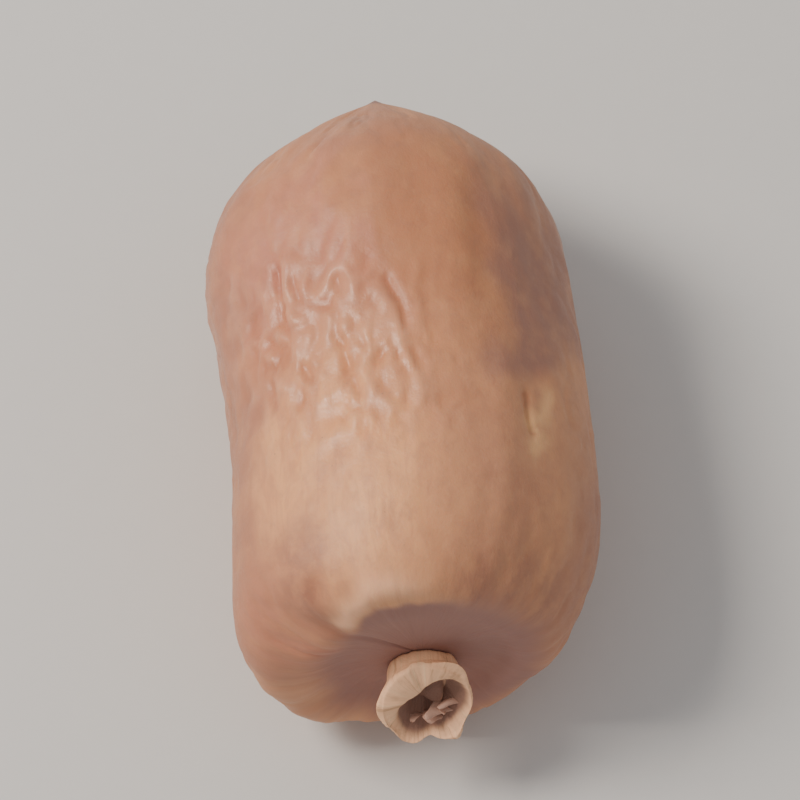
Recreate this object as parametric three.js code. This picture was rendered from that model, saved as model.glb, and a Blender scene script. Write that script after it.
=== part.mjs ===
// A zahedi date lying on its side: the fruit, and the dry calyx left on its stem end.
// Millimetres. The long axis runs along Y, with the tip at +Y and the stem end at -Y, and +Z is up.

import * as THREE from 'three';
import { mergeVertices } from 'three/addons/utils/BufferGeometryUtils.js';

const { degToRad, smoothstep } = THREE.MathUtils;

// Driving dimensions of the fruit. Its length runs from the crest of the shoulder to the tip.
const FRUIT_LENGTH = 36;
const FRUIT_WIDTH = 21;
const FRUIT_THICKNESS = 19.8;
const FLANK_START = 0.28 * FRUIT_LENGTH;
const FLANK_END = 0.63 * FRUIT_LENGTH;
const SHOULDER_RADIUS = 7.2;
const DISH_DEPTH = 1;
const SEAT_RADIUS = 3.7;
const STYLE_RADIUS = 0.75;
const STYLE_HEIGHT = 0.55;
const RESTING_DEPTH = 0.45;

// Driving dimensions of the calyx. It stands proud of the shoulder's crest, on the seat in the dish.
const CALYX_DIAMETER = 4.5;
const CALYX_HOLE_DIAMETER = 2.9;
const CALYX_STAND = 1.4;
const CALYX_DROP = 1.3;
const CALYX_TILT = degToRad(30);
const HOLLOW_DEPTH = 1.4;
const HOLE_SHIFT = 0.45;
const HOLE_STRETCH = 0.25;
const HOLE_STRETCH_TURN = degToRad(38);
const LIP_DEPTH = 0.2;
const SCRAP_HEIGHT = 0.6;
const SCRAP_SHIFT = 0.5;
const SEAT_GAP = 0.3;

// Relief of the skin
const FACET_COUNT = 5;
const FACET_DEPTH = 0.17;
const FACET_TURN = degToRad(80);
const WRINKLE_DEPTH = 0.16;
const WRINKLE_MIDDLE = 0.66 * FRUIT_LENGTH;
const WRINKLE_REACH = 9;
const KNOB_COUNT = 6;
const KNOB_HEIGHT = 0.15;
const LOBE_HEIGHT = 0.45;
const LOBE_ROLL = 2.7;
const LOBE_TURN = degToRad(153);
const HOLLOW_FLANK_DEPTH = 0.6;
const HOLLOW_FLANK_TURN = degToRad(185);
const HOLLOW_FLANK_PLACE = 0.42 * FRUIT_LENGTH;
const SET_BACK = 1.15;
const SET_BACK_TURN = degToRad(72);

// Blunt corners of the calyx's mouth: where each lies round it, and how far it reaches out
const CORNERS = [
  { turn: degToRad(4), reach: 0.55 },
  { turn: degToRad(49), reach: 0.95 },
  { turn: degToRad(188), reach: 0.65 },
  { turn: degToRad(230), reach: 0.45 },
  { turn: degToRad(307), reach: 0.8 }
];
const CORNER_SPREAD = 0.4;
const RIM_WAVE = 0.2;

const FRUIT_STEPS_ROUND = 88;
const CALYX_STEPS_ROUND = 36;

const HALF_WIDTH = FRUIT_WIDTH / 2;
const FLATNESS = FRUIT_THICKNESS / FRUIT_WIDTH;
const CALYX_RADIUS = CALYX_DIAMETER / 2;
const HOLE_RADIUS = CALYX_HOLE_DIAMETER / 2;
const CALYX_FOOT = DISH_DEPTH - SEAT_GAP;

// Height of a soft round bump over one coordinate, from 1 at its centre down to 0
function bump(value, centre, reach) {
  return Math.exp(-(((value - centre) / reach) ** 2));
}

// The same round the fruit, over an angle
function bumpRound(angle, centre, reach) {
  const turn = Math.atan2(Math.sin(angle - centre), Math.cos(angle - centre));
  return bump(turn, 0, reach);
}

// The points along a chain of curves, each given with its number of steps
function pointsAlong(stretches) {
  const [firstCurve] = stretches[0];
  const points = stretches.flatMap(([curve, steps]) => curve.getPoints(steps).slice(1));
  return [firstCurve.getPoint(0), ...points];
}

// Half outline of the fruit: x is the distance from its axis, y the place along it.
// It runs from the middle of the dish, over the shoulder and along the flank, to the tip.
function fruitOutline() {
  const dishMiddle = new THREE.Vector2(0, DISH_DEPTH);
  const seatEdge = new THREE.Vector2(SEAT_RADIUS, DISH_DEPTH);
  const crest = new THREE.Vector2(SHOULDER_RADIUS, 0);
  const flankStart = new THREE.Vector2(HALF_WIDTH, FLANK_START);
  const flankEnd = new THREE.Vector2(HALF_WIDTH, FLANK_END);
  const styleRoot = new THREE.Vector2(STYLE_RADIUS, FRUIT_LENGTH - STYLE_HEIGHT);
  const tip = new THREE.Vector2(0, FRUIT_LENGTH);

  const seat = new THREE.LineCurve(dishMiddle, seatEdge);
  const dish = new THREE.CubicBezierCurve(
    seatEdge,
    new THREE.Vector2(SEAT_RADIUS + 1.2, DISH_DEPTH),
    new THREE.Vector2(SHOULDER_RADIUS - 1.4, 0),
    crest
  );
  const shoulder = new THREE.CubicBezierCurve(
    crest,
    new THREE.Vector2(SHOULDER_RADIUS + 1.8, 0),
    new THREE.Vector2(HALF_WIDTH, 0.08 * FRUIT_LENGTH),
    flankStart
  );
  const flank = new THREE.LineCurve(flankStart, flankEnd);
  const dome = new THREE.CubicBezierCurve(
    flankEnd,
    new THREE.Vector2(HALF_WIDTH, 0.835 * FRUIT_LENGTH),
    new THREE.Vector2(0.58 * HALF_WIDTH, 0.895 * FRUIT_LENGTH),
    styleRoot
  );
  const style = new THREE.QuadraticBezierCurve(
    styleRoot,
    new THREE.Vector2(STYLE_RADIUS / 2, FRUIT_LENGTH - STYLE_HEIGHT / 2),
    tip
  );
  return pointsAlong([[seat, 2], [dish, 6], [shoulder, 9], [flank, 13], [dome, 16], [style, 3]]);
}

// How far the middle of the fruit swings to the right: it leans left at the shoulder and again
// below the tip, so that the left flank is a little hollow and the right one bellies out
function sideSwing(along) {
  const shoulder = -1.1 * bump(along, 0, 4.5);
  const belly = 0.1 * bump(along, 0.32 * FRUIT_LENGTH, 4.5);
  const neck = -0.55 * bump(along, 0.67 * FRUIT_LENGTH, 6);
  return shoulder + belly + neck;
}

// Broad soft flats that run the whole length
function facets(angle) {
  return FACET_DEPTH * Math.cos(FACET_COUNT * (angle - FACET_TURN));
}

// Long shallow furrows that wander a little and gather on the half toward the tip
function wrinkles(angle, along) {
  const drift = Math.sin(0.23 * along);
  const coarse = Math.sin(7 * angle + 0.31 * along);
  const middle = Math.sin(13 * angle + 1.9 * drift);
  const fine = Math.sin(19 * angle - 2.7 * drift + 0.11 * along);
  const mix = 0.25 * coarse + 0.5 * middle + 0.4 * fine;
  return WRINKLE_DEPTH * mix * bump(along, WRINKLE_MIDDLE, WRINKLE_REACH);
}

// The left flank is pressed a little hollow
function flankHollow(angle, along) {
  return HOLLOW_FLANK_DEPTH * bumpRound(angle, HOLLOW_FLANK_TURN, 0.8) * bump(along, HOLLOW_FLANK_PLACE, 8);
}

// Low knobs along the crest of the shoulder
function shoulderKnobs(angle, along, radius) {
  const onCrest = bump(along, 0.8, 2.6) * bump(radius, SHOULDER_RADIUS + 0.6, 1.9);
  return KNOB_HEIGHT * onCrest * Math.cos(KNOB_COUNT * angle + 0.6);
}

// A fat lobe at the left of the stem end: its crest lies close in, and from there it rolls over
// into the flank
function leftLobe(angle, along, radius) {
  const crest = LOBE_HEIGHT * bump(radius, SEAT_RADIUS + 1.3, 1);
  const outward = Math.max(0, radius - SEAT_RADIUS - 0.8) / (HALF_WIDTH - SEAT_RADIUS);
  const roll = LOBE_ROLL * outward * Math.exp(-along / 5);
  return bumpRound(angle, LOBE_TURN, 0.65) * (crest - roll);
}

// The upper edge of the stem end lies further back than the lower one
function setBack(angle, along) {
  return SET_BACK * bumpRound(angle, SET_BACK_TURN, 1.25) * Math.exp(-along / 5);
}

// Moves a point of the turned blank to its place on the real, uneven fruit
function shapeFruitPoint(point) {
  const along = point.y;
  const radius = Math.hypot(point.x, point.z);
  const angle = Math.atan2(point.z, point.x);
  const offSeat = smoothstep(radius, SEAT_RADIUS, SHOULDER_RADIUS);
  const offTip = smoothstep(radius, STYLE_RADIUS, HALF_WIDTH);
  const offAxis = along < FRUIT_LENGTH / 2 ? offSeat : offTip;
  const relief = facets(angle) + wrinkles(angle, along) - flankHollow(angle, along);
  const grown = radius + offTip * relief;
  const standing = shoulderKnobs(angle, along, radius) + offSeat * leftLobe(angle, along, radius);
  point.x = grown * Math.cos(angle) + offAxis * sideSwing(along);
  point.y = along + offSeat * setBack(angle, along) - standing;
  point.z = FLATNESS * grown * Math.sin(angle);
}

// The closed surface of a blank turned about the Y axis, with each point moved by shapePoint
function turnedGeometry(outline, stepsRound, shapePoint) {
  const turned = new THREE.LatheGeometry(outline, stepsRound);
  turned.deleteAttribute('normal');
  turned.deleteAttribute('uv');
  const geometry = mergeVertices(turned);
  const positions = geometry.getAttribute('position');
  const point = new THREE.Vector3();
  for (let i = 0; i < positions.count; i++) {
    shapePoint(point.fromBufferAttribute(positions, i));
    positions.setXYZ(i, point.x, point.y, point.z);
  }
  geometry.computeVertexNormals();
  return geometry;
}

function namedMesh(name, geometry, look) {
  const mesh = new THREE.Mesh(geometry, new THREE.MeshStandardMaterial(look));
  mesh.name = name;
  return mesh;
}

// The fruit, with a small flat spot where its weight has pressed it
function makeFruit() {
  const restingHeight = RESTING_DEPTH - FRUIT_THICKNESS / 2;
  const shapePoint = (point) => {
    shapeFruitPoint(point);
    point.z = Math.max(point.z, restingHeight);
  };
  const geometry = turnedGeometry(fruitOutline(), FRUIT_STEPS_ROUND, shapePoint);
  return namedMesh('fruit', geometry, { color: 0xb9835c, roughness: 0.42, metalness: 0 });
}

// Half outline of the calyx: from the torn scrap of strand in the middle of its hollow,
// over the rim and down the outer wall, to the middle of its foot
function calyxOutline() {
  const rim = -CALYX_STAND;
  const floor = rim + HOLLOW_DEPTH;
  const scrapTop = floor - SCRAP_HEIGHT;
  const innerEdge = new THREE.Vector2(HOLE_RADIUS, rim + LIP_DEPTH);
  const outerEdge = new THREE.Vector2(CALYX_RADIUS, rim + LIP_DEPTH);
  const footEdge = new THREE.Vector2(0.82 * CALYX_RADIUS, CALYX_FOOT);

  const hollow = new THREE.SplineCurve([
    new THREE.Vector2(0, scrapTop),
    new THREE.Vector2(0.3 * HOLE_RADIUS, scrapTop + 0.15),
    new THREE.Vector2(0.55 * HOLE_RADIUS, floor),
    new THREE.Vector2(0.9 * HOLE_RADIUS, floor - 0.4),
    innerEdge
  ]);
  const lip = new THREE.SplineCurve([
    innerEdge,
    new THREE.Vector2((HOLE_RADIUS + CALYX_RADIUS) / 2, rim),
    outerEdge
  ]);
  const wall = new THREE.SplineCurve([
    outerEdge,
    new THREE.Vector2(0.94 * CALYX_RADIUS, rim + 1.1),
    footEdge
  ]);
  const foot = new THREE.LineCurve(footEdge, new THREE.Vector2(0, CALYX_FOOT));
  return pointsAlong([[hollow, 7], [lip, 5], [wall, 5], [foot, 2]]);
}

// How far the corners of the mouth reach out at an angle
function cornerReach(angle) {
  const reaches = CORNERS.map(({ turn, reach }) => reach * bumpRound(angle, turn, CORNER_SPREAD));
  return reaches.reduce((sum, reach) => sum + reach);
}

// Gives the turned calyx its corners, its wavy rim, its thick left wall and its upturned mouth.
// The foot stays flat, so that it meets the seat squarely.
function shapeCalyxPoint(point) {
  const height = (CALYX_FOOT - point.y) / (CALYX_FOOT + CALYX_STAND);
  const radius = Math.hypot(point.x, point.z);
  const angle = Math.atan2(point.z, point.x);
  const outer = smoothstep(radius, HOLE_RADIUS, CALYX_RADIUS);
  const cornered = outer * cornerReach(angle);
  const stretched = (1 - outer) * radius * HOLE_STRETCH * Math.cos(2 * (angle - HOLE_STRETCH_TURN));
  const spread = radius + height * (cornered + stretched);
  const shift = (1 - outer) * HOLE_SHIFT * height + SCRAP_SHIFT * bump(radius, 0, HOLE_RADIUS / 2);
  const wave = RIM_WAVE * height * cornered;
  const upward = spread * Math.sin(angle) - shift;
  point.x = spread * Math.cos(angle) + shift;
  point.y += height * Math.tan(CALYX_TILT) * upward - wave;
  point.z = upward - CALYX_DROP;
}

function makeCalyx() {
  const geometry = turnedGeometry(calyxOutline(), CALYX_STEPS_ROUND, shapeCalyxPoint);
  return namedMesh('calyx', geometry, { color: 0xc9a679, roughness: 0.85, metalness: 0 });
}

// The date, set down with the middle of its footprint at the origin
function makeDate() {
  const date = new THREE.Group();
  date.add(makeFruit(), makeCalyx());
  const box = new THREE.Box3().setFromObject(date);
  const middle = box.getCenter(new THREE.Vector3());
  date.position.set(-middle.x, -middle.y, -box.min.z);
  return date;
}

export default makeDate();
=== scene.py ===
import math
import random

import bmesh
import bpy
from bpy.props import FloatProperty, FloatVectorProperty, IntProperty, PointerProperty
from mathutils import Matrix, Vector, noise


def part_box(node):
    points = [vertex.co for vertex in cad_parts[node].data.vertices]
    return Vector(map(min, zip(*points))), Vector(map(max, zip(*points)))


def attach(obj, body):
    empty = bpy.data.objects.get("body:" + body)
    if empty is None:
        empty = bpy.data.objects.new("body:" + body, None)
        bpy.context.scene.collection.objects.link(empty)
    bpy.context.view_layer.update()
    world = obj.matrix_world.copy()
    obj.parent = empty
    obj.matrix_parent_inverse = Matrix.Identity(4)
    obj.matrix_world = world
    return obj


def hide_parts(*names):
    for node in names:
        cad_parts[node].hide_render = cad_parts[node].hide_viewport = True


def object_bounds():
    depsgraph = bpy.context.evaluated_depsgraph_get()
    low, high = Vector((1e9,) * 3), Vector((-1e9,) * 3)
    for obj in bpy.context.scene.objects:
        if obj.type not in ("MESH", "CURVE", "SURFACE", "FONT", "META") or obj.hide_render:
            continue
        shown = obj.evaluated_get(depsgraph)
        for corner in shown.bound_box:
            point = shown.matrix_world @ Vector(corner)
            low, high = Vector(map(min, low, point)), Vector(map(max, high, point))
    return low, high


bl_info = {
    "name": "Zahedi Date",
    "version": (1, 0, 0),
    "blender": (4, 5, 0),
    "location": "3D View > Sidebar > Date",
    "description": "A dried date with crinkled skin and the dry calyx on its stem end",
    "category": "Add Mesh",
}

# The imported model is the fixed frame: every piece is made where its node lies.
# Blender's unit is the metre, and the forms of the date are worked out in millimetres.
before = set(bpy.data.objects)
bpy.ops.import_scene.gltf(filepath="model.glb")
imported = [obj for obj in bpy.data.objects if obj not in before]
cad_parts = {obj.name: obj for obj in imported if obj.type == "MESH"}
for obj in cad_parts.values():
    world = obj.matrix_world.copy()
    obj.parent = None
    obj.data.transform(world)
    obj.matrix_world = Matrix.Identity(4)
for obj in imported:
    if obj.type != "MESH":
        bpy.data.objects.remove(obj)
CAD_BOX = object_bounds()
FRUIT_LOW, FRUIT_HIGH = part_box("fruit")
CALYX_LOW, CALYX_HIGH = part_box("calyx")
MM = 0.001

# Middle of the calyx's foot, the height of its rim over the foot on the axis and the radius of its
# wall, in millimetres, and the slope of the rim, which turns its mouth up
CALYX_FOOT = [vertex.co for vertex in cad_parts["calyx"].data.vertices
              if vertex.co.y > CALYX_HIGH.y - 0.01 * MM]
CALYX_AXIS = sum(CALYX_FOOT, Vector()) / len(CALYX_FOOT)
RIM_STAND = 2.1
WALL_RADIUS = 2.5
RIM_SLOPE = math.tan(math.radians(30))

# The notch in the lower rim: where it lies round the calyx, how far it spreads, and how many times
# as deep as a tear it is
NOTCH_TURN = math.radians(272)
NOTCH_SPREAD = 0.22
NOTCH_DEPTH = 2.2

# How much the wall of the calyx swells and sinks, and how its foot is widened and let into the dish
WALL_UNEVENNESS = 0.09 * MM
FOOT_FLARE = 0.12 * MM
FOOT_SINK = 0.45 * MM

# Torn flakes in the hollow: the root and the tip of each, to the right, up and out from the
# middle of the foot, and its width, in millimetres
FLAKES = (
    ((1.5, -1.3, 1.4), (-0.5, -0.7, 2.3), 1.5),
    ((0.5, -1.9, 1.8), (0.3, -0.7, 2.5), 1.4),
    ((1.8, -0.9, 1.3), (0.9, -0.1, 1.9), 1.1),
    ((-0.6, -1.8, 1.7), (-0.8, -0.8, 2.3), 1.0),
    ((1.1, -1.7, 1.7), (0.9, -0.6, 2.3), 1.0),
)

# How a flake is made: the sides of its outline, the steps from its root to its tip, its thickness
# as a share of its width, how much it narrows, how far it curls, and how ragged its sides are
FLAKE_SIDES = 10
FLAKE_STEPS = 7
FLAKE_FLATNESS = 0.2
FLAKE_TAPER = 0.85
FLAKE_CURL = 0.6
FLAKE_RAGGEDNESS = 0.16 * MM
RAGGED_SIZE = 0.6 * MM

# The long axis of the fruit runs from the middle of its dish to its tip
FRUIT_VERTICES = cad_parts["fruit"].data.vertices
TIP = max((vertex.co for vertex in FRUIT_VERTICES), key=lambda point: point.y).copy()
SKIN_RADIUS = (FRUIT_HIGH.x - FRUIT_LOW.x) / 2 / MM
FRUIT_LENGTH = (FRUIT_HIGH.y - FRUIT_LOW.y) / MM

# Heights and depths of the skin's relief over the plain form
LONG_FOLD_DEPTH = 0.16 * MM
SOFT_EDGE_HEIGHT = 0.1 * MM
LIP_HEIGHT = 0.1 * MM
DISH_SINK = 0.12 * MM
PUCKER_DEPTH = 0.02 * MM
DIMPLE_DEPTH = 0.16 * MM
SCUFF_DEPTH = 0.05 * MM

# How far each kind of fold stands out, as a share of the depth of the crinkles
WRINKLE_SHARE = 0.8
CREASE_SHARE = 0.75
NETWORK_SHARE = 0.42
FINE_SHARE = 0.3

# Half-widths of the lone wrinkles, the slopes beside them and the furrows, in millimetres
WRINKLE_REACH = 0.42
WRINKLE_SLOPE_REACH = 1.2
FURROW_REACH = 0.26

# The skin's patterns wander to either side over places of these sizes, in millimetres
WANDER_SIZE = 1.5
DRIFT_SIZE = 3.2

# Distances from the stem end, in millimetres: past the first there is no lip, and past the
# second no dish
LIP_END = 3.0
DISH_END = 4.0

# Places on the skin: degrees round the axis, from the right over the top, and millimetres from
# the stem end toward the tip, with the strength of the tone where there is a third value
CRINKLED_SPOTS = ((112, 18.5), (134, 18.0), (98, 14.5), (118, 13.5), (182, 21.0), (206, 14.0),
                  (232, 23.0), (262, 16.0), (318, 21.0), (338, 12.0))
ROSY_SPOTS = ((134, 22.0), (112, 24.0), (232, 22.0))
AMBER_SPOTS = ((70, 23.0), (100, 33.0), (198, 25.0), (240, 31.0), (262, 9.0), (300, 26.0))
# Pale skin, partly painted highlight where the light falls on the upper left
PALE_SPOTS = ((106, 6.0), (100, 9.5), (112, 12.0), (133, 10.0), (222, 7.0))
# Spots darkened with the mauve tone
DARKENED_SPOTS = ((282, 16.0, 0.8), (212, 6.0, 0.8), (6, 6.0, 1.0), (60, 7.0, 0.35),
                 (95, 32.0, 0.3))
PLUMP_SPOTS = ((95, 8.0), (62, 20.0))
# Darker reddish brown spots by the stem end; the three right of the dish carry its painted shade out
# onto the flank
SMUDGED_SPOTS = ((131, 4.6), (136, 2.4), (66, 1.6), (48, 2.4), (30, 2.0))
LOBE_SPOTS = ((160, 1.0), (330, 4.0))
DIMPLE_SPOTS = ((130, 2.4), (139, 0.9))

# Wrinkles that stand out one by one, each a line through a few places on the skin
WRINKLE_PLACES = (
    ((121.5, 21.7), (125.0, 21.9), (127.8, 21.3), (128.5, 20.2), (128.0, 19.2), (126.5, 18.4),
     (123.0, 18.2)),
    ((115.5, 19.5), (111.0, 20.6), (107.0, 20.9), (104.6, 20.0), (105.5, 18.8)),
    ((107.0, 18.2), (108.5, 17.3)),
    ((114.0, 17.9), (115.5, 16.9)),
    ((99.5, 17.7), (102.0, 16.5), (100.8, 15.4), (104.0, 14.5), (103.6, 13.9), (101.0, 13.0)),
    ((97.0, 19.0), (94.0, 18.0), (91.0, 16.9), (89.5, 15.4), (86.0, 13.3), (85.0, 12.5), (86.0, 11.0)),
    ((125.0, 16.3), (121.0, 15.7), (119.0, 14.6), (117.5, 13.3)),
    ((139.5, 17.4), (136.5, 16.7)),
    ((133.5, 14.9), (131.0, 13.9)),
    ((150.5, 13.9), (146.0, 14.9)),
    ((148.0, 22.2), (149.5, 21.2), (149.0, 20.3)),
    ((107.5, 11.5), (106.0, 10.0)),
)
FURROW_PLACES = (
    ((131.0, 21.6), (131.5, 20.0), (130.5, 18.5)),
    ((124.5, 20.6), (123.5, 19.6)),
    ((110.0, 20.2), (109.0, 19.3)),
    ((110.0, 16.3), (108.5, 14.6)),
    ((124.5, 15.4), (123.0, 14.7)),
    ((138.5, 15.3), (136.5, 13.7)),
    ((93.5, 19.8), (90.0, 18.3), (87.5, 16.7)),
    ((48.6, 13.2), (48.4, 12.0), (47.4, 10.8)),
)
SCUFF_PLACES = ((38.0, 13.2), (42.0, 12.1), (47.5, 11.3), (44.0, 10.8), (47.5, 9.7))
SOFT_EDGE_PLACES = ((54.0, 24.0), (56.0, 18.0), (57.0, 13.0), (59.0, 8.0), (61.0, 4.0))

# The paler skin, partly painted highlight on the side the light falls on, ends at a line along the top:
# millimetres from the stem end, and degrees
PALE_BORDER = ((0, 86), (4, 82), (11, 80), (13, 81), (15, 84), (17, 87), (19, 93), (25, 105),
               (36, 112))
# Edge of the dish, whose darker colour is partly painted shade: degrees round the axis, and millimetres
# from it
DISH_EDGE = ((-180, 5.6), (-90, 6.6), (0, 7.0), (47, 6.8), (85, 6.5), (111, 6.6), (133, 5.6),
             (160, 5.4), (180, 6.0))
# Lip of the dish, raised a little and lit with painted highlight, in the same measures
LIP_PLACES = ((128, 6.7), (120, 7.6), (112, 8.1), (106, 8.2), (98, 8.0), (91, 7.8), (84, 7.9))


def smooth_step(value, low, high):
    """0 below low, 1 above high, and a smooth ramp between them"""
    share = min(max((value - low) / (high - low), 0.0), 1.0)
    return share * share * (3.0 - 2.0 * share)


def bump(value, centre, reach):
    """1 at the centre, falling softly to 0"""
    return math.exp(-(((value - centre) / reach) ** 2))


def crease(value, width, sharpness=1.4):
    """1 along the line where value is 0, falling to 0 at width on either side of it"""
    return max(0.0, 1.0 - abs(value) / width) ** sharpness


def between(table, value):
    """Reads a table of pairs at a value that may lie between two of its rows"""
    for (low, at_low), (high, at_high) in zip(table, table[1:]):
        if value <= high:
            share = max(0.0, (value - low) / (high - low))
            return at_low + (at_high - at_low) * share
    return table[-1][1]


def unroll(turn, along):
    """A place on the skin laid out flat, in millimetres, cut open along the underside"""
    return Vector((math.remainder(math.radians(turn - 90), math.tau) * SKIN_RADIUS, along))


def end_on(turn, radius):
    """A place on the stem end, seen along the axis, in millimetres"""
    return Vector((radius * math.cos(math.radians(turn)), radius * math.sin(math.radians(turn))))


def wandering(place):
    """A vector of three smooth noises, which changes slowly from place to place"""
    return Vector([noise.noise(place + Vector((apart, 0, 0))) for apart in (9.3, 47.1, 83.7)])


class SkinLine:
    """A line through a few points of one of the flat layouts of the skin. Points that lie further
    off than NEAR all count as FAR, in millimetres"""

    NEAR = 3.0
    FAR = 9.0

    def __init__(self, layout, places):
        self.points = [layout(*place) for place in places]
        self.middle = sum(self.points, Vector((0, 0))) / len(self.points)
        self.span = max((point - self.middle).length for point in self.points)

    def distance(self, point):
        if (point - self.middle).length > self.span + self.NEAR:
            return self.FAR
        nearest = self.FAR
        for start, end in zip(self.points, self.points[1:]):
            stretch = end - start
            share = min(max((point - start).dot(stretch) / stretch.length_squared, 0.0), 1.0)
            nearest = min(nearest, (point - start - stretch * share).length)
        return nearest


WRINKLES = [SkinLine(unroll, places) for places in WRINKLE_PLACES]
FURROWS = [SkinLine(unroll, places) for places in FURROW_PLACES]
SCUFF = SkinLine(unroll, SCUFF_PLACES)
SOFT_EDGE = SkinLine(unroll, SOFT_EDGE_PLACES)
LIP = SkinLine(end_on, LIP_PLACES)


class SkinPoint:
    """Where a point lies on the fruit, in millimetres and radians"""

    def __init__(self, point):
        across = (point - TIP) / MM
        self.angle = math.atan2(across.z, across.x)
        self.turn = math.degrees(self.angle)
        self.radius = math.hypot(across.x, across.z)
        self.along = (point.y - FRUIT_LOW.y) / MM
        self.place = Vector((
            SKIN_RADIUS * math.cos(self.angle),
            SKIN_RADIUS * math.sin(self.angle),
            self.along,
        ))
        self.wander = wandering(self.place / WANDER_SIZE)
        self.drift = wandering(self.place / DRIFT_SIZE)
        self.unrolled = unroll(self.turn, self.along) + 0.2 * self.wander.xy
        self.end_on = Vector((across.x, across.z)) + 0.25 * self.wander.xy

    def near(self, spot, reach_round, reach_along):
        """1 at a named spot of the skin, falling softly to 0"""
        turn = math.remainder(self.angle - math.radians(spot[0]), math.tau)
        return bump(turn * SKIN_RADIUS, 0, reach_round) * bump(self.along, spot[1], reach_along)

    def near_any(self, spots, reach_round, reach_along):
        return max(self.near(spot, reach_round, reach_along) for spot in spots)

    def grain(self, width, length, seed, wander=0.9):
        """Wandering noise stretched along the date, with cells of that width and length"""
        place = self.place + wander * self.wander
        return noise.noise(Vector((place.x / width + seed, place.y / width, place.z / length)))

    def lumps(self, size, seed):
        """Smooth noise with lumps of that size"""
        return noise.noise(self.place / size + Vector((seed, 0, 0)))

    def network(self, width, length, seed):
        """1 on the lines of a wandering net with meshes of that width and length, 0 inside them"""
        place = self.place + 1.5 * self.drift + 0.2 * self.wander
        place = Vector((place.x / width + seed, place.y / width, place.z / length))
        nearest, next_nearest = noise.voronoi(place)[0][:2]
        return 1.0 - smooth_step(next_nearest - nearest, 0.0, 0.38 + 0.15 * self.drift.x)

    def in_dish(self):
        """1 in the dish and 0 outside it. Its edge is crisp under the lip and soft elsewhere"""
        if self.along > DISH_END:
            return 0.0
        blur = 0.45 + 0.8 * smooth_step(abs(self.turn - 105.0), 15.0, 50.0)
        edge = between(DISH_EDGE, self.turn) + 0.6 * self.lumps(3.0, seed=51.0) + 0.25 * self.wander.z
        return 1.0 - smooth_step(self.radius, edge - blur, edge + blur)

    def on_lip(self, reach):
        """1 along the lip of the dish, falling softly to 0 to its sides and at its right end"""
        on_shoulder = smooth_step(-self.along, -DISH_END, -LIP_END)
        off_right_end = smooth_step(self.turn, 80.0, 104.0)
        return bump(LIP.distance(self.end_on), 0, reach) * on_shoulder * off_right_end


def refined_copy(node, levels):
    """A merged copy of a node's mesh, back in quads and smoothly subdivided, as a bmesh"""
    blank = bmesh.new()
    blank.from_mesh(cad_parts[node].data)
    bmesh.ops.remove_doubles(blank, verts=blank.verts, dist=0.001 * MM)
    bmesh.ops.join_triangles(
        blank,
        faces=blank.faces,
        angle_face_threshold=math.radians(40),
        angle_shape_threshold=math.radians(50),
    )
    carrier = made_object("blank", blank)
    rounding = carrier.modifiers.new("rounding", "SUBSURF")
    rounding.levels = levels
    rounding.render_levels = levels
    refined = bmesh.new()
    refined.from_object(carrier, bpy.context.evaluated_depsgraph_get())
    blank_mesh = carrier.data
    bpy.data.objects.remove(carrier)
    bpy.data.meshes.remove(blank_mesh)
    refined.normal_update()
    return refined


def made_object(name, mesh_in_work):
    """Puts a finished bmesh into the scene, smooth shaded, as an object at the origin"""
    for face in mesh_in_work.faces:
        face.smooth = True
    mesh = bpy.data.meshes.new(name)
    mesh_in_work.to_mesh(mesh)
    mesh_in_work.free()
    piece = bpy.data.objects.new(name, mesh)
    bpy.context.collection.objects.link(piece)
    return piece


class Shader:
    """Builds the nodes of one material"""

    def __init__(self, name):
        self.material = bpy.data.materials.new(name)
        self.material.use_nodes = True
        self.tree = self.material.node_tree
        self.surface = self.tree.nodes["Principled BSDF"]

    def feed(self, socket, value):
        """Links a node's output to a socket, or sets the socket to a plain value"""
        if isinstance(value, bpy.types.NodeSocket):
            self.tree.links.new(value, socket)
        elif socket.type == "RGBA":
            socket.default_value = (*value, 1.0)
        else:
            socket.default_value = value

    def node(self, kind, inputs, **settings):
        made = self.tree.nodes.new("ShaderNode" + kind)
        for name, value in settings.items():
            setattr(made, name, value)
        for name, value in inputs.items():
            self.feed(made.inputs[name], value)
        return made

    def attribute(self, name, output="Fac"):
        return self.node("Attribute", {}, attribute_name=name).outputs[output]

    def stretched(self, vector, scale):
        """Coordinates scaled differently along each axis"""
        return self.node("Mapping", {"Vector": vector, "Scale": scale}).outputs["Vector"]

    def millimetres(self):
        """The piece's own coordinates in millimetres"""
        place = self.node("TexCoord", {}).outputs["Object"]
        return self.stretched(place, (1000, 1000, 1000))

    def noise(self, vector, scale, detail=3.0, roughness=0.55, distortion=0.0):
        inputs = {"Vector": vector, "Scale": scale, "Detail": detail,
                  "Roughness": roughness, "Distortion": distortion}
        return self.node("TexNoise", inputs).outputs["Fac"]

    def math(self, operation, first, second=0.0, clamp=False):
        inputs = {0: first, 1: second}
        return self.node("Math", inputs, operation=operation, use_clamp=clamp).outputs[0]

    def span(self, value, low, high, to_low=0.0, to_high=1.0):
        """Maps a value smoothly from one span to another"""
        inputs = {"Value": value, "From Min": low, "From Max": high, "To Min": to_low, "To Max": to_high}
        return self.node("MapRange", inputs, interpolation_type="SMOOTHSTEP").outputs["Result"]

    def mix(self, share, first, second, blend="MIX"):
        """Mixes two colours"""
        inputs = {0: share, 6: first, 7: second}
        made = self.node("Mix", inputs, data_type="RGBA", blend_type=blend)
        return made.outputs[2]

    def paint(self, colour, name, paint, strength=1.0):
        """Paints over a colour where the attribute of that name is high"""
        return self.mix(self.math("MULTIPLY", self.attribute(name), strength), colour, paint)

    def shifted(self, value, name, amount):
        """Moves a value by that amount where the attribute of that name is high"""
        return self.math("ADD", value, self.math("MULTIPLY", self.attribute(name), amount))

    def bump(self, height, distance, below=None):
        """Bump of that height in metres, laid over the bump below it"""
        inputs = {"Height": height, "Distance": distance}
        if below is not None:
            inputs["Normal"] = below
        return self.node("Bump", inputs).outputs["Normal"]


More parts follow.
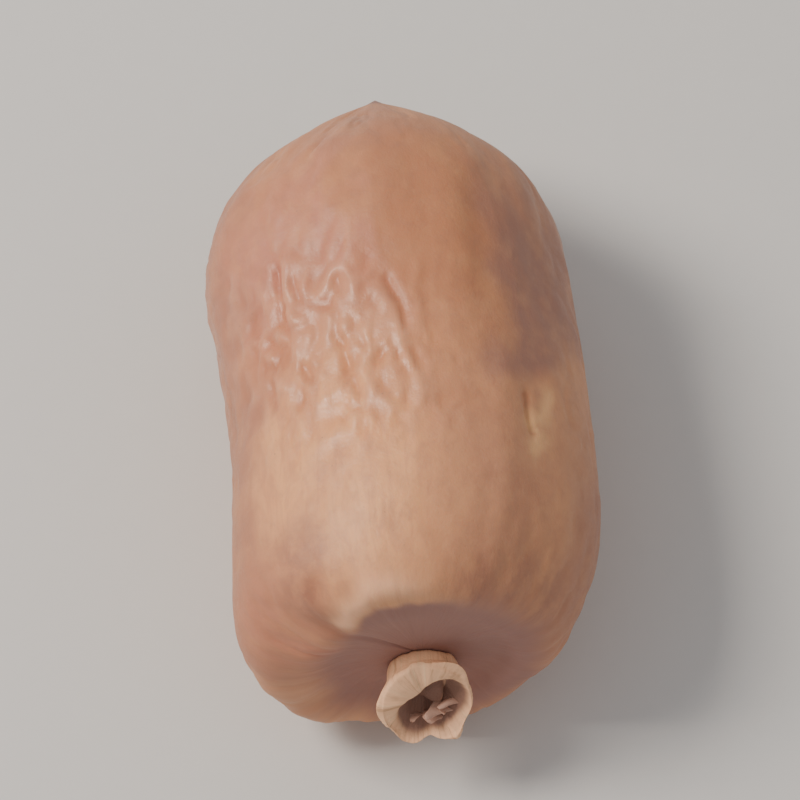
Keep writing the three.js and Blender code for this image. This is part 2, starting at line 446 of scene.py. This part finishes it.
class FruitSettings(bpy.types.PropertyGroup):
    """Relief and colours of the fruit's skin"""

    crinkle_depth: FloatProperty(
        name="Crinkle depth", description="Depth of the skin between its raised wrinkles",
        default=0.36 * MM, min=0, unit="LENGTH", precision=5)
    swell_height: FloatProperty(
        name="Swell height", description="Height of the soft lumps under the skin",
        default=0.07 * MM, min=0, unit="LENGTH", precision=5)
    refinement: IntProperty(
        name="Refinement", description="Subdivisions of the form before the skin is creased",
        default=2, min=1, max=2)
    tan: FloatVectorProperty(
        name="Tan", description="Skin over most of the fruit",
        default=(0.67, 0.322, 0.168), min=0, max=1, subtype="COLOR")
    # Amber: skin toward the tip, also painted shade on the left flank
    amber: FloatVectorProperty(
        name="Amber", description="Skin on the half toward the tip",
        default=(0.55, 0.238, 0.12), min=0, max=1, subtype="COLOR")
    rosy: FloatVectorProperty(
        name="Rosy", description="Pinkish skin where it is crinkled",
        default=(0.6, 0.25, 0.165), min=0, max=1, subtype="COLOR")
    # Mauve: darker tone on the flanks; on the left flank it is painted shade
    mauve: FloatVectorProperty(
        name="Mauve", description="Darker bruised skin on one flank",
        default=(0.38, 0.19, 0.14), min=0, max=1, subtype="COLOR")
    # Pale: lighter skin, partly painted highlight on the lit upper left
    pale_and_highlight: FloatVectorProperty(
        name="Pale", description="Skin lifted off the flesh near the shoulder",
        default=(0.9, 0.46, 0.212), min=0, max=1, subtype="COLOR")
    # Dish: browner skin, with painted shade for the recess of the stem end
    dish: FloatVectorProperty(
        name="Dish", description="Brown skin in the dish of the stem end",
        default=(0.36, 0.189, 0.155), min=0, max=1, subtype="COLOR")
    # Smudge: darker reddish brown, in part painted shade beside the dish
    smudge: FloatVectorProperty(
        name="Smudge", description="Reddish brown blotches low on the flank",
        default=(0.4, 0.185, 0.12), min=0, max=1, subtype="COLOR")
    # Stretched: painted highlight along the tops of the wrinkles
    stretched: FloatVectorProperty(
        name="Stretched", description="Pale pink skin along the top of a wrinkle",
        default=(0.98, 0.6, 0.44), min=0, max=1, subtype="COLOR")
    # Lip: painted highlight along the lit lip of the dish
    lip: FloatVectorProperty(
        name="Lip", description="Bright skin along the lip of the dish",
        default=(1.0, 0.56, 0.33), min=0, max=1, subtype="COLOR")
    scuff: FloatVectorProperty(
        name="Scuff", description="Dry rubbed skin",
        default=(0.82, 0.46, 0.225), min=0, max=1, subtype="COLOR")


class CalyxSettings(bpy.types.PropertyGroup):
    """Relief and colours of the dry calyx"""

    fibre_depth: FloatProperty(
        name="Fibre depth", description="Depth of the grooves between the fibres",
        default=0.02 * MM, min=0, unit="LENGTH", precision=5)
    tear_depth: FloatProperty(
        name="Tear depth", description="Depth of the tears in the rim",
        default=0.18 * MM, min=0, unit="LENGTH", precision=5)
    rim_thinning: FloatProperty(
        name="Rim thinning", description="How much the inner edge of the rim is worn away",
        default=0.4 * MM, min=0, unit="LENGTH", precision=5)
    refinement: IntProperty(
        name="Refinement", description="Subdivisions of the form before it is torn",
        default=3, min=1, max=3)
    husk: FloatVectorProperty(
        name="Husk", description="Dry outer wall and rim",
        default=(1.0, 0.605, 0.36), min=0, max=1, subtype="COLOR")
    fibre: FloatVectorProperty(
        name="Fibre", description="Lighter fibres in the husk",
        default=(1.0, 0.74, 0.46), min=0, max=1, subtype="COLOR")
    # Stain: brown stains, also painted shade in the fibre grooves
    stain_and_groove_shade: FloatVectorProperty(
        name="Stain", description="Brown stains on the husk",
        default=(0.34, 0.17, 0.08), min=0, max=1, subtype="COLOR")
    # Hollow: brown floor, with painted shade deeper in the hollow
    hollow: FloatVectorProperty(
        name="Hollow", description="Brown floor of the hollow",
        default=(0.3, 0.165, 0.12), min=0, max=1, subtype="COLOR")
    scrap: FloatVectorProperty(
        name="Scrap", description="Torn pinkish flakes in the hollow",
        default=(0.52, 0.33, 0.27), min=0, max=1, subtype="COLOR")


class StudioSettings(bpy.types.PropertyGroup):
    """Floor, lights and camera"""

    floor_colour: FloatVectorProperty(
        name="Floor", description="Pale matt floor",
        default=(0.7, 0.73, 0.73), min=0, max=1, subtype="COLOR")
    sky_colour: FloatVectorProperty(
        name="Surroundings", description="Even light from all round",
        default=(0.87, 0.82, 0.81), min=0, max=1, subtype="COLOR")
    sky_strength: FloatProperty(
        name="Surroundings strength", description="Strength of the even light", default=0.5, min=0)
    key_power: FloatProperty(
        name="Key light", description="Power of the soft light from the left, in watts",
        default=1.1, min=0)
    key_colour: FloatVectorProperty(
        name="Key colour", description="Colour of the soft light from the left",
        default=(1.0, 0.86, 0.75), min=0, max=1, subtype="COLOR")
    fill_power: FloatProperty(
        name="Fill light", description="Power of the weak light from the right, in watts",
        default=0.03, min=0)
    fill_colour: FloatVectorProperty(
        name="Fill colour", description="Colour of the weak light from the right",
        default=(0.92, 0.96, 1.0), min=0, max=1, subtype="COLOR")
    azimuth: FloatProperty(
        name="Azimuth", description="Camera's turn round the date",
        default=math.radians(-4.4), unit="ROTATION")
    elevation: FloatProperty(
        name="Elevation", description="Camera's height above the horizon",
        default=math.radians(64), unit="ROTATION")
    distance: FloatProperty(
        name="Distance", description="From the camera to the date",
        default=0.4, min=0.05, unit="LENGTH")
    focal_length: FloatProperty(
        name="Focal length", description="Focal length of the camera's long lens, in millimetres",
        default=320, min=1)


def skin_crinkling(spot):
    """How crinkled the skin is at a point: most in a few patches, and little near the stem end"""
    patches = spot.near_any(CRINKLED_SPOTS, 4.6, 5.2)
    toward_tip = bump(spot.along, 0.62 * FRUIT_LENGTH, 10.0)
    patchy = smooth_step(spot.lumps(6.0, seed=3.1), -0.1, 0.45)
    plump = smooth_step(spot.turn, 5.0, 30.0) * smooth_step(-spot.turn, -95.0, -75.0)
    return max(patches, toward_tip * (0.14 + 0.45 * patchy) * (1.0 - 0.8 * plump))


def lone_wrinkles(spot):
    """How near a point is to the top of a lone wrinkle, to the slopes beside it, and to a furrow"""
    from_wrinkle = min(line.distance(spot.unrolled) for line in WRINKLES)
    from_furrow = min(line.distance(spot.unrolled) for line in FURROWS)
    strength = 0.4 + 0.6 * smooth_step(spot.lumps(1.2, seed=41.0), -0.35, 0.3)
    top = strength * bump(from_wrinkle, 0, WRINKLE_REACH + 0.16 * spot.lumps(1.3, seed=61.0))
    slope = bump(from_wrinkle, 0, WRINKLE_SLOPE_REACH) * (1.0 - top)
    return top, slope, bump(from_furrow, 0, FURROW_REACH)


def fold_tops(spot, wrinkle):
    """How near a point is to the top of any fold, from the lone wrinkles down to the fine ones"""
    uneven = 0.35 + 0.65 * smooth_step(spot.lumps(1.6, seed=17.0), -0.35, 0.3)
    folds = (
        WRINKLE_SHARE * wrinkle,
        CREASE_SHARE * uneven * crease(spot.grain(1.7, 4.2, seed=5.0), 0.42),
        NETWORK_SHARE * spot.network(1.9, 3.8, seed=5.0),
        FINE_SHARE * (1.3 - uneven) * crease(spot.grain(0.95, 2.0, seed=9.0), 0.45),
    )
    return 1.0 - math.prod(1.0 - fold for fold in folds)


def skin_relief(spot, look):
    """Height of the skin over the plain form, in metres, how deep in a crease the point is, which is
    painted in as shade, and how near the top of a wrinkle, which is painted in as highlight"""
    off_tip = smooth_step(spot.radius, 0.8, 4.5)
    off_ground = 0.3 + 0.7 * smooth_step(spot.place.y, -SKIN_RADIUS, -0.8 * SKIN_RADIUS)
    in_dish = spot.in_dish()
    off_dish = 1.0 - in_dish

    crinkled = skin_crinkling(spot)
    wrinkle, slope, furrow = lone_wrinkles(spot)
    raised = fold_tops(spot, wrinkle)
    sunken = (1.0 - raised) * crinkled * off_ground + 0.25 * slope
    sunken = min(1.3, sunken + 0.6 * furrow) * off_tip

    pucker = crease(spot.grain(1.6, 30.0, seed=21.0, wander=0.3), 0.35)
    pucker *= in_dish * smooth_step(spot.radius, 2.2, 4.0)
    dimple = spot.near_any(DIMPLE_SPOTS, 0.8, 0.7)
    scuffed = bump(SCUFF.distance(spot.unrolled), 0, 0.6) * (0.5 + spot.grain(0.5, 0.8, seed=77.0))
    soft_edge = bump(SOFT_EDGE.distance(spot.unrolled), 0, 1.1)
    long_fold = crease(spot.grain(4.5, 14.0, seed=33.0, wander=1.5), 0.3)
    long_fold *= 1.0 - spot.near_any(PLUMP_SPOTS, 9.0, 15.0)

    swell = spot.lumps(4.2, seed=1.7) * off_dish
    swell += 0.6 * spot.lumps(2.1, seed=6.0) + 0.3 * spot.grain(0.9, 1.6, seed=44.0)
    height = look.swell_height * swell * off_tip
    height -= LONG_FOLD_DEPTH * long_fold * off_tip * off_ground * off_dish
    height += SOFT_EDGE_HEIGHT * soft_edge + LIP_HEIGHT * spot.on_lip(0.5)
    height -= look.crinkle_depth * sunken + DISH_SINK * in_dish
    height -= PUCKER_DEPTH * pucker + DIMPLE_DEPTH * dimple + SCUFF_DEPTH * scuffed
    shade = min(1.0, sunken + 0.2 * pucker + 0.5 * dimple)
    return height, shade, raised * min(1.0, crinkled + 0.6 * wrinkle)


def darker_right_flank(spot, turn, cloudy):
    """How much the right flank is darkened with the mauve tone: its lower edge is crisp, and it fades
    toward the tip
    """
    low_edge = 13.4 + 0.1 * (52.0 - spot.turn)
    darkened = smooth_step(spot.along + 0.8 * cloudy, low_edge - 0.7, low_edge + 1.4)
    darkened *= smooth_step(-turn, -64.0, -48.0) * smooth_step(spot.turn, -25.0, 5.0)
    return darkened * (1.0 - 0.8 * smooth_step(spot.along + 2.0 * cloudy, 22.0, 31.0))


def skin_tones(spot):
    """How much of each tone shows at a point of the skin, painted shade and painted highlight among them
    """
    cloudy = spot.lumps(3.5, seed=31.0)
    turn = spot.turn + 12.0 * spot.lumps(2.6, seed=71.0)
    toward_tip = smooth_step(spot.along + 2.5 * cloudy, 11.0, 25.0)
    # Painted shade: the left flank is darkened with the amber and mauve tones and kept from the pale one
    shaded_left_flank = smooth_step(turn, 134.0, 157.0) + smooth_step(-turn, 150.0, 175.0)
    lobe = spot.near_any(LOBE_SPOTS, 4.6, 3.6)
    blur = 14.0 - 10.0 * smooth_step(spot.along, 6.0, 13.0)
    # Left of the border the skin takes the pale and rosy tones; the pale one is partly painted highlight
    # on the lit side
    past_border = smooth_step(turn - between(PALE_BORDER, spot.along), -blur, blur)
    amber = max(0.75 * spot.near_any(AMBER_SPOTS, 5.0, 6.5), shaded_left_flank)
    rosy = spot.near_any(ROSY_SPOTS, 5.5, 6.5) * past_border
    darkened = max(share * spot.near(place, 4.0, 6.5) for *place, share in DARKENED_SPOTS)
    darkened = max(darkened, darker_right_flank(spot, turn, cloudy))
    return {
        "amber": min(1.0, 0.6 * toward_tip + amber) * (1.0 - 0.5 * rosy),
        "rosy": min(1.0, rosy + 0.85 * lobe),
        "mauve": max(darkened, 0.5 * shaded_left_flank * (1.0 - lobe)),
        "pale_and_highlight": spot.near_any(PALE_SPOTS, 4.5, 5.0) * past_border * (1.0 - shaded_left_flank),
        "smudge": spot.near_any(SMUDGED_SPOTS, 1.8, 1.8),
        # painted highlight along the lip of the dish
        "lip": spot.on_lip(0.6),
        # browner skin with painted shade in the dish
        "dish": spot.in_dish(),
        "scuff": bump(SCUFF.distance(spot.unrolled), 0, 0.55 + 0.5 * spot.lumps(0.9, seed=77.0)),
        "nub": smooth_step(-spot.radius, -1.5, -0.4) * smooth_step(spot.along, 30.0, 34.0),
    }


def crease_skin(skin, look):
    """Moves each point of the refined fruit along its normal, and notes its tones, the painted shade of
    its creases and the painted highlight on its folds
    """
    places = skin.verts.layers.float_vector.new("skin_place")
    # furrow: painted shade down in the creases
    furrows = skin.verts.layers.float.new("furrow")
    raised = skin.verts.layers.float.new("raised")
    crinkled = skin.verts.layers.float.new("crinkled")
    tones = {name: skin.verts.layers.float.new(name) for name in skin_tones(SkinPoint(TIP))}
    for vertex in skin.verts:
        spot = SkinPoint(vertex.co)
        height, vertex[furrows], vertex[raised] = skin_relief(spot, look)
        vertex.co += vertex.normal * height
        vertex.co.z = max(vertex.co.z, 0.0)
        vertex[places] = spot.place
        vertex[crinkled] = skin_crinkling(spot)
        for name, share in skin_tones(spot).items():
            vertex[tones[name]] = share


def skin_colour(shader, place, mottling, look):
    """Colour of the skin, from its broad tones to its wrinkles, its dish and its pores, with painted
    shade and painted highlight
    """
    clouds = shader.noise(place, 0.28, detail=4, roughness=0.6)
    streaked = shader.stretched(place, (1.2, 1.2, 0.32))
    streaks = shader.noise(streaked, 0.9, detail=3, roughness=0.6, distortion=0.8)
    blotches = shader.noise(place, 0.42, detail=4, roughness=0.58)

    cloudy = shader.span(clouds, 0.3, 0.7, -0.25, 0.25)
    amber = shader.math("ADD", shader.attribute("amber"), cloudy, clamp=True)
    colour = shader.mix(amber, look.tan, look.amber)
    colour = shader.paint(colour, "rosy", look.rosy, shader.span(streaks, 0.25, 0.65, 0.5, 1.0))
    # Pale skin, partly painted highlight on the lit upper left
    colour = shader.paint(colour, "pale_and_highlight", look.pale_and_highlight, shader.span(streaks, 0.35, 0.6, 0.35, 1.0))
    colour = shader.paint(colour, "mauve", look.mauve, shader.span(clouds, 0.2, 0.6, 0.65, 1.0))
    colour = shader.paint(colour, "smudge", look.smudge, shader.span(mottling, 0.3, 0.6, 0.5, 0.95))

    darker = shader.mix(0.5, colour, look.smudge)
    colour = shader.mix(shader.span(mottling, 0.42, 0.72, 0.0, 0.5), colour, darker)
    lighter = shader.mix(0.5, colour, look.pale_and_highlight)
    colour = shader.mix(shader.span(blotches, 0.45, 0.7, 0.0, 0.35), colour, lighter)
    # Painted shade: darker and redder down in the creases
    deeper = shader.mix(0.8, colour, look.rosy, blend="MULTIPLY")
    colour = shader.paint(colour, "furrow", deeper, 0.4)
    # Painted highlight on the tops of the folds
    colour = shader.paint(colour, "raised", look.stretched, 0.16)
    # Painted highlight along the lip of the dish
    colour = shader.paint(colour, "lip", look.lip, 0.9)
    # Browner skin with painted shade in the dish
    colour = shader.paint(colour, "dish", look.dish)
    colour = shader.paint(colour, "scuff", look.scuff)
    colour = shader.paint(colour, "nub", look.dish)
    return specked(shader, colour, place, look)


def specked(shader, colour, place, look):
    """Adds small dark pores, thicker on some parts of the skin than on others"""
    pores = shader.node("TexVoronoi", {"Vector": place, "Scale": 1.7, "Randomness": 1.0})
    dots = shader.span(pores.outputs["Distance"], 0.05, 0.13, 1.0, 0.0)
    scattered = shader.span(shader.noise(place, 0.5, detail=2), 0.5, 0.72)
    share = shader.math("MULTIPLY", dots, shader.math("MULTIPLY", scattered, 0.55))
    return shader.mix(share, colour, look.mauve)


def skin_material(look):
    """Thin semi-gloss skin over translucent flesh"""
    shader = Shader("date_skin")
    surface = shader.surface.inputs
    place = shader.attribute("skin_place", "Vector")
    mottling = shader.noise(place, 1.0, detail=4, roughness=0.6, distortion=0.3)
    grain = shader.noise(place, 4.5, detail=4, roughness=0.7)
    shader.feed(surface["Base Color"], skin_colour(shader, place, mottling, look))

    rough = shader.span(grain, 0.25, 0.75, 0.46, 0.6)
    rough = shader.shifted(rough, "crinkled", -0.22)
    rough = shader.shifted(rough, "dish", 0.16)
    rough = shader.shifted(rough, "scuff", 0.2)
    shader.feed(surface["Roughness"], rough)

    normal = shader.bump(mottling, 0.045 * MM)
    normal = shader.bump(grain, 0.02 * MM, normal)
    shader.feed(surface["Normal"], normal)

    surface["Subsurface Weight"].default_value = 0.16
    surface["Subsurface Radius"].default_value = (1.0, 0.42, 0.2)
    surface["Subsurface Scale"].default_value = 1.1 * MM
    surface["Specular IOR Level"].default_value = 0.36
    surface["Coat Weight"].default_value = 0.06
    surface["Coat Roughness"].default_value = 0.28
    return shader.material


class ZAHEDI_OT_fruit(bpy.types.Operator):
    """Makes the fruit, with its creased skin, over the plain solid"""

    bl_idname = "zahedi.fruit"
    bl_label = "Make Fruit"

    def execute(self, context):
        look = context.scene.zahedi_fruit
        skin = refined_copy("fruit", look.refinement)
        crease_skin(skin, look)
        fruit = made_object("date_fruit", skin)
        fruit.data.materials.append(skin_material(look))
        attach(fruit, "root")
        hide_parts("fruit")
        return {"FINISHED"}


class CalyxPoint:
    """Where a point lies on the calyx: its angle and distance from the axis, and its height as a
    share of the height of the slanting rim there"""

    def __init__(self, point):
        across = point - CALYX_AXIS
        self.angle = math.atan2(across.z, across.x)
        self.radius = math.hypot(across.x, across.z) / MM
        self.outward = Vector((math.cos(self.angle), 0, math.sin(self.angle)))
        self.rim = RIM_STAND - RIM_SLOPE * across.z / MM
        self.height = -across.y / MM / self.rim
        self.place = Vector((
            WALL_RADIUS * math.cos(self.angle),
            WALL_RADIUS * math.sin(self.angle),
            -across.y / MM,
        ))

    def grain(self, width, length, seed):
        """Noise stretched up the wall, with cells of that width and length"""
        place = self.place
        return noise.noise(Vector((place.x / width + seed, place.y / width, place.z / length)))

    def inside(self, facing):
        """1 on the inner wall and the floor of the hollow, 0 outside"""
        faces_in = smooth_step(-facing.dot(self.outward), 0.0, 0.5)
        on_floor = smooth_step(-self.radius, -1.3, -0.9)
        return max(faces_in, on_floor) * smooth_step(-self.radius, -2.6, -2.2)


def tear_calyx(husk, look):
    """Gives the refined calyx its fibres, its torn rim and a foot that meets the dish"""
    grains = husk.verts.layers.float_vector.new("grain_place")
    hollows = husk.verts.layers.float.new("hollow")
    furrows = husk.verts.layers.float.new("furrow")
    husk.verts.layers.float.new("scrap")
    for vertex in husk.verts:
        spot = CalyxPoint(vertex.co)
        normal = vertex.normal.copy()
        off_axis = smooth_step(spot.radius, 0.6, 1.4)
        fibre = crease(spot.grain(0.32, 2.4, seed=3.0), 0.35)
        coarse = spot.grain(0.9, 1.6, seed=7.0)
        ragged = smooth_step(spot.grain(1.1, 9.0, seed=13.0), 0.0, 0.5)
        notched = bump(math.remainder(spot.angle - NOTCH_TURN, math.tau), 0, NOTCH_SPREAD)
        near_rim = smooth_step(spot.height, 0.5, 0.95)
        inner_edge = smooth_step(-spot.radius, -2.6, -1.9) * near_rim * off_axis
        vertex.co += spot.outward * look.rim_thinning * inner_edge
        vertex.co -= normal * look.fibre_depth * fibre * off_axis
        vertex.co += normal * WALL_UNEVENNESS * coarse * off_axis
        vertex.co.y += look.tear_depth * (ragged + NOTCH_DEPTH * notched) * near_rim * off_axis
        at_foot = smooth_step(-spot.height, -0.3, 0.0)
        vertex.co += spot.outward * FOOT_FLARE * at_foot * off_axis
        vertex.co.y += FOOT_SINK * at_foot
        vertex.co.y = max(vertex.co.y, CALYX_LOW.y)
        sunk = (1.0 - spot.height) * spot.rim
        vertex[grains] = spot.place
        # furrow: painted shade in the grooves between the fibres
        vertex[furrows] = fibre * off_axis
        # hollow: painted shade on the inner wall and floor, darker further down
        vertex[hollows] = spot.inside(normal) * smooth_step(sunk, 0.0, 0.5)


def in_calyx(right, up, height):
    """A point of the calyx, given in millimetres from the middle of its foot"""
    return CALYX_AXIS + Vector((right, -height, up)) * MM


def add_flake(husk, root, tip, width, curl):
    """Adds one torn flake: a flat tapering tongue that bends from its root toward its tip"""
    heading = (tip - root).normalized()
    step_length = (tip - root).length / FLAKE_STEPS
    upright = heading.to_track_quat("Z", "Y").to_matrix()
    ring = bmesh.ops.create_circle(husk, cap_ends=True, segments=FLAKE_SIDES, radius=width / 2)["verts"]
    bmesh.ops.scale(husk, verts=ring, vec=(1, FLAKE_FLATNESS, 1))
    bmesh.ops.rotate(husk, verts=ring, cent=(0, 0, 0), matrix=upright)
    bmesh.ops.translate(husk, verts=ring, vec=root)
    scraps = husk.verts.layers.float["scrap"]
    cap = ring[0].link_faces[0]
    for vertex in ring:
        vertex[scraps] = 1.0
    last_share = 1.0
    for step in range(1, FLAKE_STEPS + 1):
        cap = bmesh.ops.extrude_discrete_faces(husk, faces=[cap])["faces"][0]
        heading = (heading + curl / FLAKE_STEPS).normalized()
        bmesh.ops.translate(husk, verts=cap.verts, vec=heading * step_length)
        to_middle = Matrix.Translation(-cap.calc_center_median())
        share = 1.0 - FLAKE_TAPER * step / FLAKE_STEPS
        shrink = Vector((1, 1, 1)) * share / last_share
        bmesh.ops.scale(husk, verts=cap.verts, vec=shrink, space=to_middle)
        last_share = share
        for vertex in cap.verts:
            vertex[scraps] = 1.0
            vertex.co += FLAKE_RAGGEDNESS * wandering(vertex.co / RAGGED_SIZE)


def add_flakes(husk):
    """Stands the torn flakes of the strand along the lower wall of the hollow"""
    draw = random.Random(7)
    for root, tip, width in FLAKES:
        curl = Vector((draw.uniform(-1, 1), draw.uniform(-1, 0), draw.uniform(-1, 1))) * FLAKE_CURL
        add_flake(husk, in_calyx(*root), in_calyx(*tip), width * MM, curl)


def husk_material(look):
    """Dry fibrous husk"""
    shader = Shader("dry_calyx")
    surface = shader.surface.inputs
    grain_place = shader.attribute("grain_place", "Vector")
    fibres = shader.noise(shader.stretched(grain_place, (1, 1, 0.15)), 4.0, detail=4, roughness=0.6)
    cracks = shader.noise(shader.stretched(grain_place, (1, 1, 0.3)), 2.2, detail=5, roughness=0.7)
    blotches = shader.noise(shader.millimetres(), 0.9, detail=3, roughness=0.6)
    grain = shader.noise(shader.millimetres(), 9.0, detail=4, roughness=0.7)

    along_fibres = shader.span(fibres, 0.3, 0.7, 0.2, 0.7)
    stained = shader.math("MULTIPLY", shader.span(blotches, 0.5, 0.8), along_fibres)
    colour = shader.mix(stained, look.husk, look.stain_and_groove_shade)
    # Painted shade in the grooves between the fibres
    colour = shader.paint(colour, "furrow", look.stain_and_groove_shade, 0.1)
    colour = shader.mix(shader.span(fibres, 0.5, 0.75, 0.0, 0.5), colour, look.fibre)
    colour = shader.mix(shader.span(cracks, 0.55, 0.68, 0.0, 0.45), colour, look.stain_and_groove_shade)
    # Brown floor with painted shade in the hollow
    colour = shader.paint(colour, "hollow", look.hollow)
    colour = shader.paint(colour, "scrap", look.scrap, 0.85)
    shader.feed(surface["Base Color"], colour)
    shader.feed(surface["Roughness"], shader.span(grain, 0.3, 0.7, 0.7, 0.92))

    normal = shader.bump(fibres, 0.05 * MM)
    normal = shader.bump(grain, 0.03 * MM, normal)
    shader.feed(surface["Normal"], normal)
    return shader.material


class ZAHEDI_OT_calyx(bpy.types.Operator):
    """Makes the dry calyx, with its fibres and torn rim, over the plain solid"""

    bl_idname = "zahedi.calyx"
    bl_label = "Make Calyx"

    def execute(self, context):
        look = context.scene.zahedi_calyx
        husk = refined_copy("calyx", look.refinement)
        tear_calyx(husk, look)
        add_flakes(husk)
        calyx = made_object("date_calyx", husk)
        calyx.data.materials.append(husk_material(look))
        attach(calyx, "root")
        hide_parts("calyx")
        return {"FINISHED"}


def floor_material(look):
    """Pale matt paper"""
    shader = Shader("pale_floor")
    grain = shader.noise(shader.millimetres(), 0.7, detail=4, roughness=0.6)
    lighter = tuple(min(1.0, 1.04 * part) for part in look.floor_colour)
    shader.feed(shader.surface.inputs["Base Color"], shader.mix(grain, look.floor_colour, lighter))
    shader.feed(shader.surface.inputs["Roughness"], shader.span(grain, 0.3, 0.7, 0.75, 0.85))
    shader.feed(shader.surface.inputs["Normal"], shader.bump(grain, 0.01 * MM))
    return shader.material


def add_area_light(name, aim, direction, distance, size, power, colour):
    """A square soft light that faces the date"""
    lamp = bpy.data.lights.new(name, "AREA")
    lamp.size = size
    lamp.energy = power
    lamp.color = colour
    light = bpy.data.objects.new(name, lamp)
    toward = Vector(direction).normalized()
    light.location = aim + toward * distance
    light.rotation_mode = "QUATERNION"
    light.rotation_quaternion = toward.to_track_quat("Z", "Y")
    bpy.context.collection.objects.link(light)


def add_camera(aim, look):
    """A long lens at the photograph's viewing angle"""
    lens = bpy.data.cameras.new("camera")
    lens.lens = look.focal_length
    lens.clip_start = 0.01
    camera = bpy.data.objects.new("camera", lens)
    level = math.cos(look.elevation)
    back = Vector((
        math.sin(look.azimuth) * level,
        -math.cos(look.azimuth) * level,
        math.sin(look.elevation),
    ))
    camera.location = aim + back * look.distance
    camera.rotation_mode = "QUATERNION"
    camera.rotation_quaternion = back.to_track_quat("Z", "Y")
    bpy.context.collection.objects.link(camera)
    bpy.context.scene.camera = camera


# Half the width of the floor, in metres
FLOOR_REACH = 3.0


class ZAHEDI_OT_studio(bpy.types.Operator):
    """Makes the pale floor, the soft lights and the camera"""

    bl_idname = "zahedi.studio"
    bl_label = "Make Studio"

    def execute(self, context):
        look = context.scene.zahedi_studio
        sheet = bmesh.new()
        bmesh.ops.create_grid(sheet, x_segments=1, y_segments=1, size=FLOOR_REACH)
        floor = made_object("floor", sheet)
        floor.data.materials.append(floor_material(look))

        world = bpy.data.worlds.new("surroundings")
        world.use_nodes = True
        background = world.node_tree.nodes["Background"]
        background.inputs["Color"].default_value = (*look.sky_colour, 1.0)
        background.inputs["Strength"].default_value = look.sky_strength
        context.scene.world = world

        aim = (CAD_BOX[0] + CAD_BOX[1]) / 2
        add_area_light(
            "key", aim, direction=(-0.6, 0.12, 0.75), distance=0.34, size=0.12,
            power=look.key_power, colour=look.key_colour)
        add_area_light(
            "fill", aim, direction=(0.8, 0.1, 0.5), distance=0.35, size=0.25,
            power=look.fill_power, colour=look.fill_colour)
        add_camera(aim, look)
        return {"FINISHED"}


class ZAHEDI_PT_date(bpy.types.Panel):
    """Lists the date's settings and the operators that make it"""

    bl_idname = "ZAHEDI_PT_date"
    bl_label = "Zahedi Date"
    bl_space_type = "VIEW_3D"
    bl_region_type = "UI"
    bl_category = "Date"

    def draw(self, context):
        groups = (
            (context.scene.zahedi_fruit, ZAHEDI_OT_fruit),
            (context.scene.zahedi_calyx, ZAHEDI_OT_calyx),
            (context.scene.zahedi_studio, ZAHEDI_OT_studio),
        )
        for settings, operator in groups:
            box = self.layout.box()
            for name in type(settings).__annotations__:
                box.prop(settings, name)
            box.operator(operator.bl_idname)


CLASSES = (
    FruitSettings,
    CalyxSettings,
    StudioSettings,
    ZAHEDI_OT_fruit,
    ZAHEDI_OT_calyx,
    ZAHEDI_OT_studio,
    ZAHEDI_PT_date,
)


def register():
    for each in CLASSES:
        bpy.utils.register_class(each)
    bpy.types.Scene.zahedi_fruit = PointerProperty(type=FruitSettings)
    bpy.types.Scene.zahedi_calyx = PointerProperty(type=CalyxSettings)
    bpy.types.Scene.zahedi_studio = PointerProperty(type=StudioSettings)


def unregister():
    del bpy.types.Scene.zahedi_studio
    del bpy.types.Scene.zahedi_calyx
    del bpy.types.Scene.zahedi_fruit
    for each in reversed(CLASSES):
        bpy.utils.unregister_class(each)


def main():
    register()
    bpy.ops.zahedi.fruit()
    bpy.ops.zahedi.calyx()
    bpy.ops.zahedi.studio()


if __name__ == "__main__":
    main()
